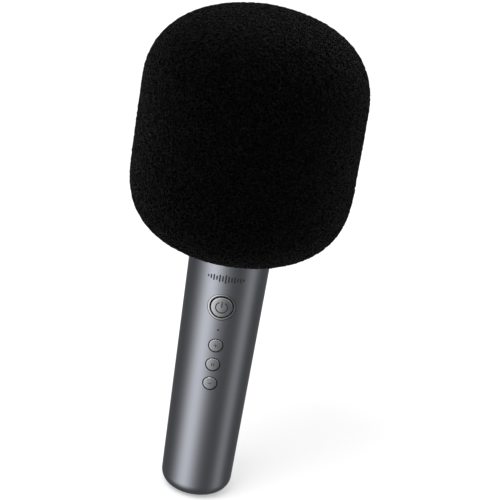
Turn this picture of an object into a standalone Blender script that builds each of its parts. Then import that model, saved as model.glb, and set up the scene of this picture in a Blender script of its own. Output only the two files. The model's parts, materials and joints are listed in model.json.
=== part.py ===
"""A wireless karaoke microphone: tapered metal handle with four push buttons, and a large foam head
that hides a loudspeaker and the microphone capsule.

Lengths are in millimetres here and become metres when a mesh is made. The handle's axis is Z, with
the handle's flat end at z = 0. The buttons face -Y.
"""

from math import cos, pi, radians, sin, sqrt

import bmesh
import bpy
from mathutils import Matrix, Vector

MM = 0.001
GAP = 0.3  # between pieces that touch on the real object

# Handle: a tapered tube whose lower edge is rounded over.
HANDLE_LOW_RADIUS = 16.27  # of the taper, carried down to z = 0
HANDLE_TAPER = 0.0186  # growth of the radius for each unit of height
HANDLE_TOP = 130.0
HANDLE_WALL = 1.6
HANDLE_EDGE = 6.8  # radius of the rounded lower edge
FOOT_HOLE_RADIUS = 9.0

# Head: a barrel with a straight band between two domes.
HEAD_RADIUS = 50.0
HEAD_MIDDLE = 177.8
HEAD_BAND = 17.3
HEAD_TOP_DOME = 37.7
HEAD_LOW_DOME = 38.1
HEAD_TOP_POWER = 2.37
HEAD_LOW_POWER = 2.76

# Cage: what the foam is pulled over.
CAGE_RADIUS = 38.0
CAGE_MIDDLE = 179.0
CAGE_BAND = 12.0
CAGE_TOP_DOME = 30.0
CAGE_LOW_DOME = 35.5
CAGE_POWER = 2.4
CAGE_WALL = 2.0
CAGE_SPLIT = 184.0
CAGE_FLOOR = 137.0
CAGE_FLOOR_RADIUS = 24.0
CAGE_SLOTS = 10

# Push buttons: name, height, radius, how far the flat face stands past the handle's front line.
BUTTONS = (
    ("power", 100.4, 4.95, 0.2),
    ("plus", 81.1, 3.1, 0.12),
    ("mode", 71.4, 3.1, 0.12),
    ("minus", 61.7, 3.1, 0.12),
)
BUTTON_GAP = 0.35  # round the small caps
BEZEL_OUTER, BEZEL_INNER = 6.3, 5.5
LIGHT_HEIGHT, LIGHT_RADIUS = 89.1, 0.45

# Inside the handle, from front to back.
KEY_BOARD_FRONT, KEY_BOARD_BACK = -10.9, -9.9
MAIN_BOARD_FRONT, MAIN_BOARD_BACK = -7.1, -5.9
CHASSIS_RADIUS, CHASSIS_LOW, CHASSIS_TOP = 14.2, 3.7, 122.0
CHASSIS_FRONT = -5.6
BATTERY_RADIUS, BATTERY_LOW, BATTERY_LENGTH, BATTERY_Y = 9.2, 25.3, 65.2, 3.6
USB_Y, JACK_Y = -3.4, 3.6
WIRE_HOLE = 5.0

# Inside the head.
BOX_LOW, BOX_TOP, BOX_WIDTH, BOX_DEPTH, BOX_WALL = 146.0, 198.0, 42.0, 40.0, 2.2
SPEAKER_HEIGHT, SPEAKER_RADIUS = 172.0, 20.0

FRONT = (pi / 2, 0.0, 0.0)  # turns a lathe's +Z towards -Y
BACK = (-pi / 2, 0.0, 0.0)


# ---------------------------------------------------------------- materials

def material(name, colour, roughness, metallic=0.0):
    made = bpy.data.materials.new(name)
    made.use_nodes = True
    shader = made.node_tree.nodes["Principled BSDF"]
    shader.inputs["Base Color"].default_value = (*colour, 1.0)
    shader.inputs["Roughness"].default_value = roughness
    shader.inputs["Metallic"].default_value = metallic
    made.diffuse_color = (*colour, 1.0)
    return made


def make_materials():
    return {
        "handle_metal": material("handle_metal", (0.19, 0.2, 0.22), 0.34, 0.9),
        "button_metal": material("button_metal", (0.3, 0.31, 0.32), 0.38, 0.9),
        "foam": material("foam", (0.006, 0.006, 0.006), 0.95),
        "black_plastic": material("black_plastic", (0.02, 0.02, 0.022), 0.5),
        "grey_plastic": material("grey_plastic", (0.12, 0.125, 0.13), 0.55),
        "clear_plastic": material("clear_plastic", (0.7, 0.78, 0.85), 0.15),
        "steel": material("steel", (0.55, 0.55, 0.54), 0.3, 1.0),
        "circuit_board": material("circuit_board", (0.01, 0.07, 0.03), 0.45),
        "chip": material("chip", (0.015, 0.015, 0.016), 0.4),
        "battery_wrap": material("battery_wrap", (0.03, 0.12, 0.35), 0.35),
        "rubber": material("rubber", (0.015, 0.015, 0.015), 0.8),
        "paper_cone": material("paper_cone", (0.03, 0.03, 0.032), 0.85),
        "capsule_brass": material("capsule_brass", (0.6, 0.45, 0.18), 0.3, 1.0),
        "wire": material("wire", (0.25, 0.02, 0.02), 0.5),
    }


# ---------------------------------------------------------------- modelling tools

def clear_scene():
    for obj in list(bpy.data.objects):
        bpy.data.objects.remove(obj)


def add_object(name, shape, finish=None, place=(0, 0, 0), turn=(0, 0, 0)):
    """Links a bmesh in millimetres as an object in metres, shaded smooth apart from its real edges."""
    bmesh.ops.recalc_face_normals(shape, faces=shape.faces)
    bmesh.ops.scale(shape, vec=(MM, MM, MM), verts=shape.verts)
    mesh = bpy.data.meshes.new(name)
    shape.to_mesh(mesh)
    shape.free()
    obj = bpy.data.objects.new(name, mesh)
    bpy.context.scene.collection.objects.link(obj)
    obj.location = Vector(place) * MM
    obj.rotation_euler = turn
    if finish:
        mesh.materials.append(finish)
    mesh.shade_smooth()
    mesh.set_sharp_from_angle(angle=radians(32))
    return obj


def lathe_shape(outline, segments):
    """A closed outline of (radius, height) points, turned about Z."""
    shape = bmesh.new()
    ring = [shape.verts.new((radius, 0.0, height)) for radius, height in outline]
    edges = [shape.edges.new((a, b)) for a, b in zip(ring, ring[1:] + ring[:1])]
    on_axis = [e for e in edges if max(v.co.x for v in e.verts) < 1e-9]
    bmesh.ops.delete(shape, geom=on_axis, context="EDGES_FACES")
    shape.verts.ensure_lookup_table()
    bmesh.ops.spin(
        shape,
        geom=list(shape.verts) + list(shape.edges),
        cent=(0, 0, 0),
        axis=(0, 0, 1),
        angle=2 * pi,
        steps=segments,
    )
    bmesh.ops.remove_doubles(shape, verts=shape.verts, dist=1e-4)
    return shape


def turned(name, outline, finish, segments=32, place=(0, 0, 0), turn=(0, 0, 0)):
    return add_object(name, lathe_shape(outline, segments), finish, place, turn)


def tube_outline(inner, outer, low, high):
    return [(inner, low), (outer, low), (outer, high), (inner, high)]


def block(name, size, centre, finish, edge=0.0):
    shape = bmesh.new()
    bmesh.ops.create_cube(shape, size=1.0)
    bmesh.ops.scale(shape, vec=size, verts=shape.verts)
    if edge:
        bmesh.ops.bevel(shape, geom=shape.edges, offset=edge, segments=2, profile=0.5, affect="EDGES")
    return add_object(name, shape, finish, centre)


def prism(name, outline, low, high, finish, place=(0, 0, 0)):
    """A flat outline of (x, y) points, extruded from low to high along Z."""
    shape = bmesh.new()
    face = shape.faces.new([shape.verts.new((x, y, low)) for x, y in outline])
    raised = bmesh.ops.extrude_face_region(shape, geom=[face])["geom"]
    top = [v for v in raised if isinstance(v, bmesh.types.BMVert)]
    bmesh.ops.translate(shape, vec=(0, 0, high - low), verts=top)
    return add_object(name, shape, finish, place)


def slot_outline(width, height, steps=8):
    """A slot with round ends, centred on the origin."""
    radius, reach = height / 2, width / 2 - height / 2
    points = []
    for side in (1, -1):
        for i in range(steps + 1):
            angle = -pi / 2 + pi * i / steps
            points.append((side * (reach + radius * cos(angle)), side * radius * sin(angle)))
    return points


def barrel(radius, middle, band, top, low, top_power, low_power, steps=12):
    """The outline of a barrel from its top to its bottom: two domes with a straight band between."""
    points = []
    for i in range(steps + 1):
        angle = pi / 2 * (1 - i / steps)
        points.append(
            (radius * cos(angle) ** (2 / top_power), middle + band + top * sin(angle) ** (2 / top_power))
        )
    for i in range(steps + 1):
        angle = pi / 2 * i / steps
        points.append(
            (radius * cos(angle) ** (2 / low_power), middle - band - low * sin(angle) ** (2 / low_power))
        )
    return [(0.0 if r < 1e-6 else r, z) for r, z in points]


def as_cutter(obj):
    obj.hide_render = True
    obj.display_type = "WIRE"
    return obj


def carve(target, cutter):
    change = target.modifiers.new(cutter.name, "BOOLEAN")
    change.operation = "DIFFERENCE"
    change.solver = "EXACT"
    change.object = as_cutter(cutter)


def join(target, addition):
    change = target.modifiers.new(addition.name, "BOOLEAN")
    change.operation = "UNION"
    change.solver = "EXACT"
    change.object = as_cutter(addition)


def drill(target, name, radius, start, end, segments=24):
    """Cuts a round hole of this radius through target, from start to end."""
    start, end = Vector(start), Vector(end)
    along = end - start
    shape = bmesh.new()
    bmesh.ops.create_cone(
        shape, cap_ends=True, segments=segments, radius1=radius, radius2=radius, depth=along.length
    )
    turn = along.to_track_quat("Z", "Y").to_euler()
    carve(target, add_object(name, shape, None, (start + end) / 2, turn))


def cut_block(target, name, low, high):
    """Cuts the box between two corners out of target."""
    low, high = Vector(low), Vector(high)
    carve(target, block(name, high - low, (low + high) / 2, None))


def cut_ring_of_slots(target, name, count, inner, outer, width, low, high, offset=0.0):
    """Cuts upright slots that stand round the axis, from the inner to the outer radius."""
    shape = bmesh.new()
    for i in range(count):
        made = bmesh.ops.create_cube(shape, size=1.0)["verts"]
        bmesh.ops.scale(shape, vec=(outer - inner, width, high - low), verts=made)
        bmesh.ops.translate(shape, vec=((inner + outer) / 2, 0, (low + high) / 2), verts=made)
        spin = Matrix.Rotation(2 * pi * i / count + offset, 3, "Z")
        bmesh.ops.rotate(shape, cent=(0, 0, 0), matrix=spin, verts=made)
    carve(target, add_object(name, shape))


def lead(name, points, radius, finish):
    """A round lead along one smooth curve through these points."""
    smooth, per_span = [], 3
    ends = [points[0]] + list(points) + [points[-1]]
    for before, a, b, after in zip(ends, ends[1:], ends[2:], ends[3:]):
        before, a, b, after = Vector(before), Vector(a), Vector(b), Vector(after)
        for i in range(per_span):
            t = i / per_span
            smooth.append(
                0.5
                * (
                    2 * a
                    + (b - before) * t
                    + (2 * before - 5 * a + 4 * b - after) * t**2
                    + (3 * a - before - 3 * b + after) * t**3
                )
            )
    smooth.append(Vector(points[-1]))
    curve = bpy.data.curves.new(name, "CURVE")
    curve.dimensions = "3D"
    curve.bevel_depth = radius * MM
    curve.bevel_resolution = 1
    curve.use_fill_caps = True
    spline = curve.splines.new("POLY")
    spline.points.add(len(smooth) - 1)
    for point, at in zip(spline.points, smooth):
        point.co = (*(at * MM), 1.0)
    curve.materials.append(finish)
    obj = bpy.data.objects.new(name, curve)
    bpy.context.scene.collection.objects.link(obj)
    return obj


def handle_radius(height):
    return HANDLE_LOW_RADIUS + HANDLE_TAPER * height


def screw(name, head_radius, head_height, shaft_radius, length, finish, place, turn=(0, 0, 0)):
    """A pan-head screw with a driver recess. Its head's underside is at the origin and it points to -Z."""
    recess, depth = head_radius * 0.45, head_height * 0.5
    outline = [
        (0.0, -length),
        (shaft_radius * 0.5, -length),
        (shaft_radius, -length + shaft_radius),
        (shaft_radius, 0.0),
        (head_radius, 0.0),
        (head_radius, head_height * 0.6),
        (head_radius * 0.8, head_height),
        (recess, head_height),
        (recess * 0.8, head_height - depth),
        (0.0, head_height - depth),
    ]
    return turned(name, outline, finish, 12, place, turn)


# ---------------------------------------------------------------- handle

def make_handle_shell(finish):
    centre = handle_radius(HANDLE_EDGE) - HANDLE_EDGE
    steps = 5
    outer = [(handle_radius(HANDLE_TOP), HANDLE_TOP)]
    inner = []
    for i in range(steps + 1):
        angle = pi / 2 * i / steps
        inside = HANDLE_EDGE - HANDLE_WALL
        outer.append((centre + HANDLE_EDGE * cos(angle), HANDLE_EDGE * (1 - sin(angle))))
        inner.append((centre + inside * cos(angle), HANDLE_EDGE - inside * sin(angle)))
    floor = [(FOOT_HOLE_RADIUS, 0.0), (FOOT_HOLE_RADIUS, HANDLE_WALL)]
    top = [(handle_radius(HANDLE_TOP) - HANDLE_WALL, HANDLE_TOP)]
    shell = turned("handle_shell", outer + floor + inner[::-1] + top, finish, 48)
    for name, height, radius, _ in BUTTONS:
        hole = BEZEL_OUTER + 0.15 if name == "power" else radius + BUTTON_GAP
        drill(shell, f"cut_{name}_hole", hole, (0, -25, height), (0, -10, height), 20)
    drill(shell, "cut_light_hole", LIGHT_RADIUS + GAP, (0, -25, LIGHT_HEIGHT), (0, -10, LIGHT_HEIGHT), 16)
    return shell


def make_end_cap(finish):
    rim, flange, lip = FOOT_HOLE_RADIUS - GAP, 10.6, HANDLE_WALL + GAP
    outline = [(0, 0), (rim, 0), (rim, lip), (flange, lip), (flange, 3.4), (0, 3.4)]
    cap = turned("end_cap", outline, finish, 36)
    slot = prism("cut_usb_slot", slot_outline(9.6, 3.8), -1, 5, None, (0, USB_Y, 0))
    carve(cap, slot)
    drill(cap, "cut_jack_hole", 2.7, (0, JACK_Y, -1), (0, JACK_Y, 5))


def make_ports(steel, black, board_finish):
    shell = prism("usb_c_shell", slot_outline(8.94, 3.2), 0.4, 7.7, steel, (0, USB_Y, 0))
    mouth = prism("cut_usb_mouth", slot_outline(8.24, 2.5), -1, 9, None, (0, USB_Y, 0))
    carve(shell, mouth)
    tongue = block("usb_c_tongue", (6.6, 0.7, 6.0), (0, USB_Y, 4.0), black)
    join(tongue, block("add_usb_base", (6.9, 1.9, 1.8), (0, USB_Y, 6.5), None))
    jack = block("audio_jack", (6.4, 7.2, 11.4), (0, 3.0, 9.4), black, 0.3)
    nose = turned("add_jack_nose", [(0, 0.3), (2.4, 0.3), (2.4, 4.5), (0, 4.5)], None, 24, (0, JACK_Y, 0))
    join(jack, nose)
    drill(jack, "cut_jack_bore", 1.8, (0, JACK_Y, -1), (0, JACK_Y, 13.5))
    block("port_board", (17.6, 1.0, 17.0), (0, -1.2, 12.5), board_finish)


def make_chassis(finish):
    """The sled that holds the battery and boards: a rod with bays cut into it."""
    rounded = [(0, CHASSIS_LOW), (12.4, CHASSIS_LOW), (13.4, 5.0), (CHASSIS_RADIUS, 7.6)]
    outline = rounded + [(CHASSIS_RADIUS, CHASSIS_TOP), (0, CHASSIS_TOP)]
    sled = turned("inner_chassis", outline, finish, 32)
    reach, pocket = 20, BATTERY_RADIUS + 0.4
    pocket_low, pocket_top = BATTERY_LOW - GAP, BATTERY_LOW + BATTERY_LENGTH + 1.1
    cut_block(sled, "cut_board_face", (-reach, -reach, 9), (reach, CHASSIS_FRONT, 118))
    drill(sled, "cut_battery_pocket", pocket, (0, BATTERY_Y, pocket_low), (0, BATTERY_Y, pocket_top), 32)
    cut_block(sled, "cut_battery_front", (-pocket, -8, pocket_low), (pocket, BATTERY_Y, pocket_top))
    cut_block(sled, "cut_port_bay", (-9.3, -8, 0), (9.3, 8, 22))
    cut_block(sled, "cut_wire_bay", (-9, -8, 94), (9, 10, 110))
    drill(sled, "cut_battery_lead_hole", 2.2, (0, 6, 91), (0, 6, 95))
    drill(sled, "cut_top_wire_hole", WIRE_HOLE, (0, 0, 109), (0, 0, 123))
    for i, (x, y) in enumerate(collar_screw_places()):
        drill(sled, f"cut_collar_pilot_{i}", 1.1, (x, y, 117), (x, y, 123), 16)
    for i, height in enumerate(BOARD_SCREW_HEIGHTS):
        x = BOARD_SCREW_X
        drill(sled, f"cut_board_pilot_{i}", 1.1, (x, -7, height), (x, -2.2, height), 16)


BOARD_SCREW_HEIGHTS = (23.5, 114.0)
BOARD_SCREW_X = 7.5


def make_battery(finish):
    top = BATTERY_LOW + BATTERY_LENGTH
    low_edge = [(0, BATTERY_LOW), (8.6, BATTERY_LOW), (BATTERY_RADIUS, BATTERY_LOW + 0.6)]
    high_edge = [(BATTERY_RADIUS, top - 1.4), (8.6, top - 0.8), (3.2, top - 0.8), (3.0, top), (0, top)]
    turned("battery_cell", low_edge + high_edge, finish, 32, (0, BATTERY_Y, 0))


def make_boards(m):
    middle = (MAIN_BOARD_FRONT + MAIN_BOARD_BACK) / 2
    thick = MAIN_BOARD_BACK - MAIN_BOARD_FRONT
    board = block("main_board", (21.0, thick, 105.0), (0, middle, 64.5), m["circuit_board"])
    for i, height in enumerate(BOARD_SCREW_HEIGHTS):
        x, front = BOARD_SCREW_X, MAIN_BOARD_FRONT - GAP
        drill(board, f"cut_board_hole_{i}", 1.1, (x, -9, height), (x, -4, height), 16)
        screw(f"board_screw_{i + 1}", 1.7, 1.0, 0.8, 4.6, m["steel"], (x, front, height), FRONT)
    on_front = MAIN_BOARD_FRONT - GAP
    block("bluetooth_chip", (7, 0.9, 7), (0, on_front - 0.45, 40), m["chip"])
    block("amplifier_chip", (6, 0.9, 5), (-3, on_front - 0.45, 26), m["chip"])
    inductor = [(0, 0), (2.2, 0), (2.6, 0.4), (2.6, 2.2), (2.2, 2.6), (0, 2.6)]
    turned("charge_inductor", inductor, m["chip"], 24, (4, on_front, 32), FRONT)
    on_back = MAIN_BOARD_BACK + GAP
    for name, x, width in (("speaker_socket", -5.4, 4), ("battery_socket", 0, 4), ("mic_socket", 5.4, 4)):
        block(name, (width, 3.6, 4.6), (x, on_back + 1.8, 99.5), m["black_plastic"], 0.2)
    middle = (KEY_BOARD_FRONT + KEY_BOARD_BACK) / 2
    block("key_board", (13.0, 1.0, 53.0), (0, middle, 82), m["circuit_board"])


def collar_screw_places():
    return [(9.6 * cos(radians(a)), 9.6 * sin(radians(a))) for a in (90, 210, 330)]


# ---------------------------------------------------------------- buttons

def make_button(name, height, radius, proud, finish):
    """A cap whose face follows the handle's curve, a flange behind the handle's wall and a stem that meets
    the switch."""
    face = handle_radius(height) + proud
    edge, flange, flange_front, flange_back, stem_end = 0.2, radius + 0.8, 15.0, 14.5, 14.0
    outline = [
        (0, stem_end),
        (1.1, stem_end),
        (1.1, flange_back),
        (flange, flange_back),
        (flange, flange_front),
        (radius, flange_front),
        (radius, face - edge),
        (radius - edge, face),
        (radius * 2 / 3, face),
        (radius / 3, face),
        (0, face),
    ]
    shape = lathe_shape(outline, 24)
    for vert in shape.verts:
        across, rise, out = vert.co
        if out > flange_front + edge:
            vert.co.z = out + sqrt(handle_radius(height + rise) ** 2 - across**2) - handle_radius(height)
    add_object(f"{name}_button", shape, finish, (0, 0, height), FRONT)


def make_switch(name, height, body_finish, plunger_finish):
    """A push switch on the key board. Its plunger stands in a recess deep enough for the travel."""
    size = 6.0 if name == "power" else 4.6
    back, front = -KEY_BOARD_FRONT + GAP, 12.8
    body = block(f"{name}_switch", (size, front - back, size), (0, -(front + back) / 2, height), body_finish)
    drill(body, f"cut_{name}_switch_well", 1.4, (0, -13.5, height), (0, -11.7, height), 20)
    plunger = [(0, 12.3), (1.0, 12.3), (1.0, 13.7), (0, 13.7)]
    turned(f"{name}_plunger", plunger, plunger_finish, 20, (0, 0, height), FRONT)


def make_bezel(finish):
    """The bright ring round the power button. It follows the handle's curve, so its face stays level with
    the metal all the way round."""
    height = BUTTONS[0][1]
    profile = (
        (BEZEL_INNER, 1.5),
        (BEZEL_INNER, 0.12),
        (BEZEL_INNER + 0.12, 0.0),
        (BEZEL_OUTER, 0.0),
        (BEZEL_OUTER, 1.5),
    )
    segments = 36
    shape = bmesh.new()
    rings = []
    for i in range(segments):
        angle = 2 * pi * i / segments
        ring = []
        for radius, depth in profile:
            x, z = radius * cos(angle), height + radius * sin(angle)
            ring.append(shape.verts.new((x, depth - sqrt(handle_radius(z) ** 2 - x**2), z)))
        rings.append(ring)
    for a, b in zip(rings, rings[1:] + rings[:1]):
        for k in range(len(profile)):
            n = (k + 1) % len(profile)
            shape.faces.new((a[k], b[k], b[n], a[n]))
    add_object("power_button_bezel", shape, finish)


def make_button_guide(finish):
    """The strip behind the buttons, with a hole for each stem."""
    guide = block("button_guide", (9.0, 0.8, 50.0), (0, -13.5, 82), finish)
    for name, height, _, _ in BUTTONS:
        drill(guide, f"cut_guide_{name}", 1.6, (0, -15, height), (0, -12, height), 20)
    drill(guide, "cut_guide_light", 0.8, (0, -15, LIGHT_HEIGHT), (0, -12, LIGHT_HEIGHT), 16)


def make_light(clear, chip):
    front = handle_radius(LIGHT_HEIGHT)
    pipe = [(0, 12.5), (LIGHT_RADIUS, 12.5), (LIGHT_RADIUS, front - 0.1), (0, front - 0.1)]
    turned("led_light_pipe", pipe, clear, 16, (0, 0, LIGHT_HEIGHT), FRONT)
    block("status_led", (1.6, 0.8, 1.0), (0, KEY_BOARD_FRONT - GAP - 0.4, LIGHT_HEIGHT), chip)


def make_buttons(m):
    for name, height, radius, proud in BUTTONS:
        make_button(name, height, radius, proud, m["button_metal"])
        make_switch(name, height, m["steel"], m["black_plastic"])
    make_bezel(m["handle_metal"])
    make_button_guide(m["grey_plastic"])
    make_light(m["clear_plastic"], m["clear_plastic"])


# ---------------------------------------------------------------- neck and head

def make_neck(m):
    outline = [
        (WIRE_HOLE, 122.3),
        (16.6, 122.3),
        (16.6, HANDLE_TOP + GAP),
        (18.6, HANDLE_TOP + GAP),
        (18.6, 132.9),
        (CAGE_FLOOR_RADIUS, 133.2),
        (CAGE_FLOOR_RADIUS, CAGE_FLOOR - GAP),
        (WIRE_HOLE, CAGE_FLOOR - GAP),
    ]
    collar = turned("neck_collar", outline, m["black_plastic"], 28)
    for i, (x, y) in enumerate(collar_screw_places()):
        drill(collar, f"cut_collar_head_{i}", 2.2, (x, y, 127), (x, y, 140), 20)
        drill(collar, f"cut_collar_shaft_{i}", 1.1, (x, y, 120), (x, y, 128), 16)
        screw(f"collar_screw_{i + 1}", 1.9, 1.4, 0.8, 8.6, m["steel"], (x, y, 127.3))
    for i, (x, y) in enumerate(cage_screw_places()):
        drill(collar, f"cut_cage_pilot_{i}", 1.1, (x, y, 134.2), (x, y, 140), 16)


def cage_screw_places():
    return [(22.0, 0.0), (-22.0, 0.0)]


def cage_outline(grow=0.0):
    """The cage's outer outline from its top to its bottom, grown by this much all round."""
    return barrel(
        CAGE_RADIUS + grow,
        CAGE_MIDDLE,
        CAGE_BAND,
        CAGE_TOP_DOME + grow,
        CAGE_LOW_DOME + grow,
        CAGE_POWER,
        CAGE_POWER,
        5,
    )


def above(outline, height):
    return [(r, z) for r, z in outline if z > height]


def cage_between(grow, low, high):
    return [(r, z) for r, z in cage_outline(grow) if low < z < high]


def make_cage(m):
    """Two open baskets that meet in a stepped lip."""
    outer, inner = CAGE_RADIUS, CAGE_RADIUS - CAGE_WALL
    lip, tongue = CAGE_SPLIT + 2.0, inner + 1.0
    dome_out = above(cage_outline(), CAGE_SPLIT)
    dome_in = above(cage_outline(-CAGE_WALL), CAGE_SPLIT + 2.0)
    edge = [(outer, CAGE_SPLIT + GAP), (tongue + GAP, CAGE_SPLIT + GAP), (tongue + GAP, lip + GAP)]
    upper = turned(
        "cage_upper", dome_out + edge + [(inner, lip + GAP)] + dome_in[::-1], m["black_plastic"], 30
    )
    bowl_out = cage_between(0.0, CAGE_FLOOR + 1, CAGE_SPLIT)
    bowl_in = cage_between(-CAGE_WALL, CAGE_FLOOR + 4, CAGE_SPLIT)
    floor = [
        (CAGE_FLOOR_RADIUS, CAGE_FLOOR),
        (5.5, CAGE_FLOOR),
        (5.5, CAGE_FLOOR + 2),
        (CAGE_FLOOR_RADIUS + 0.4, CAGE_FLOOR + 2),
    ]
    step = [(inner, lip), (tongue, lip), (tongue, CAGE_SPLIT), (outer, CAGE_SPLIT)]
    lower = turned("cage_lower", step + bowl_out + floor + bowl_in[::-1], m["black_plastic"], 30)
    cut_ring_of_slots(lower, "cut_lower_slots", CAGE_SLOTS, 20, 45, 5.6, 146, 179, pi / CAGE_SLOTS)
    cut_ring_of_slots(upper, "cut_upper_slots", CAGE_SLOTS, 20, 45, 5.6, 189, 211, pi / CAGE_SLOTS)
    cut_ring_of_slots(upper, "cut_crown_slots", 6, 5, 17, 3.4, 205, 230)
    for i, (x, y) in enumerate(cage_screw_places()):
        drill(lower, f"cut_cage_hole_{i}", 1.1, (x, y, 135), (x, y, 141), 16)
        screw(f"cage_screw_{i + 1}", 1.7, 1.2, 0.8, 4.6, m["steel"], (x, y, CAGE_FLOOR + 2 + GAP))


def make_speaker_box(m):
    """Two halves of a sealed enclosure, with the driver in front and a passive radiator behind."""
    height = BOX_TOP - BOX_LOW
    centre = (BOX_LOW + BOX_TOP) / 2
    for side, name in ((-1, "speaker_box_front"), (1, "speaker_box_rear")):
        half = block(name, (BOX_WIDTH, BOX_DEPTH, height), (0, 0, centre), m["grey_plastic"], 3.0)
        hollow = Vector((BOX_WIDTH - 2 * BOX_WALL, BOX_DEPTH - 2 * BOX_WALL, height - 2 * BOX_WALL))
        carve(half, block(f"cut_{name}_hollow", hollow, (0, 0, centre), None, 2.0))
        if side < 0:
            cut_block(half, f"cut_{name}", (-30, -0.15, BOX_LOW - 5), (30, 30, BOX_TOP + 5))
        else:
            cut_block(half, f"cut_{name}", (-30, -30, BOX_LOW - 5), (30, 0.15, BOX_TOP + 5))
        start, end = (0, side * 12, SPEAKER_HEIGHT), (0, side * 24, SPEAKER_HEIGHT)
        drill(half, f"cut_{name}_mouth", SPEAKER_RADIUS - 1.8, start, end, 28)
        if side < 0:
            drill(half, "cut_speaker_lead_hole", 1.5, (-3, -4, BOX_LOW - 1), (-3, -4, BOX_LOW + 4), 16)
    ring = turned("speaker_isolator", tube_outline(14.0, 20.0, 139.3, BOX_LOW - GAP), m["rubber"], 24)
    cut_block(ring, "cut_isolator_notch", (10, -3, 138), (22, 3, 147))


def make_driver(m):
    place = (0, 0, SPEAKER_HEIGHT)
    face = BOX_DEPTH / 2 + GAP
    frame = [
        (17.0, face),
        (SPEAKER_RADIUS, face),
        (SPEAKER_RADIUS, face + 1.5),
        (17.2, face + 1.5),
        (16.6, face + 0.6),
        (10.2, 10.3),
        (5.0, 10.3),
        (5.0, 9.0),
        (11.2, 9.0),
    ]
    turned("speaker_frame", frame, m["steel"], 24, place, FRONT)
    magnet = [(0, 1.6), (12.5, 1.6), (13.0, 2.1), (13.0, 8.2), (12.5, 8.7), (0, 8.7)]
    turned("speaker_magnet", magnet, m["steel"], 24, place, FRONT)
    cone = [(0, 17.4), (3.0, 17.0), (5.4, 15.9), (14.0, 20.6), (14.0, 21.1)]
    back = [(5.2, 16.5), (3.0, 17.6), (0, 18.0)]
    turned("speaker_cone", cone + back, m["paper_cone"], 24, place, FRONT)
    turned("speaker_surround", roll_outline(14.3, 16.8, face + 0.9), m["rubber"], 24, place, FRONT)
    roll = roll_outline(12.3, 17.2, face + 0.6)
    flange = [(19.6, face + 0.6), (19.6, face)]
    turned("radiator_surround", roll[:5] + flange + roll[5:], m["rubber"], 24, place, BACK)
    plate = [(0, face - 0.6), (12.0, face), (12.0, face + 0.8), (0, face + 0.2)]
    turned("radiator_plate", plate, m["paper_cone"], 24, place, BACK)


def roll_outline(inner, outer, height, thick=0.5, steps=4):
    """Half a roll of thin rubber between two radii."""
    middle, half = (inner + outer) / 2, (outer - inner) / 2
    points = []
    for radius, order in ((half, 1), (half - thick, -1)):
        arc = [(middle - radius * cos(pi * i / steps), height + radius * sin(pi * i / steps) * 0.7)
               for i in range(steps + 1)]
        points += arc[::order]
    return points


def make_capsule(m):
    base = BOX_TOP + GAP
    holder = [(2.0, base), (14.0, base), (14.0, base + 1.6), (11.0, base + 1.6), (11.0, 210.0),
              (9.6, 210.0), (9.6, base + 1.6), (2.0, base + 1.6)]
    cup = turned("capsule_holder", holder, m["grey_plastic"], 24)
    cut_block(cup, "cut_holder_notch", (8, -1.6, base + 1.0), (16, 1.6, base + 5.0))
    mount = [(6.0, 203.4), (9.3, 203.4), (9.3, 211.6), (10.6, 211.6), (10.6, 212.8), (8.1, 212.8),
             (8.1, 204.9), (6.0, 204.9)]
    turned("capsule_mount", mount, m["rubber"], 24)
    capsule = [(0, 203.6), (5.5, 203.6), (5.5, 205.2), (7.8, 205.2), (7.8, 213.6), (7.2, 214.2), (0, 214.2)]
    turned("mic_capsule", capsule, m["capsule_brass"], 24)
    turned("capsule_filter", [(0, 214.6), (9.2, 214.6), (9.2, 217.4), (0, 217.4)], m["foam"], 24)


def make_foam(finish):
    """One hollow sponge: the barrel outside, the cage's shape inside, and a bore for the handle."""
    lip = 20.6
    shape = barrel(
        HEAD_RADIUS,
        HEAD_MIDDLE,
        HEAD_BAND,
        HEAD_TOP_DOME,
        HEAD_LOW_DOME,
        HEAD_TOP_POWER,
        HEAD_LOW_POWER,
        8,
    )
    outside = [(r, z) for r, z in shape if z > HEAD_MIDDLE or r > lip]
    mouth_low, mouth_top, cavity = 124.6, 132.5, CAGE_FLOOR - GAP
    fit = GAP + 0.05
    mouth = [
        (handle_radius(mouth_low) + fit + 0.5, mouth_low - 0.7),
        (handle_radius(mouth_low) + fit, mouth_low),
        (handle_radius(mouth_top) + fit, mouth_top),
        (CAGE_FLOOR_RADIUS + GAP, mouth_top + 0.1),
        (CAGE_FLOOR_RADIUS + GAP, cavity),
    ]
    inside = [(r, z) for r, z in cage_outline(GAP) if r == 0 or z > CAGE_FLOOR + 1]
    inside = [p for p in inside if p[1] > CAGE_FLOOR]
    turned("foam_windscreen", outside + mouth + inside[::-1], finish, 44)


# ---------------------------------------------------------------- leads

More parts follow.
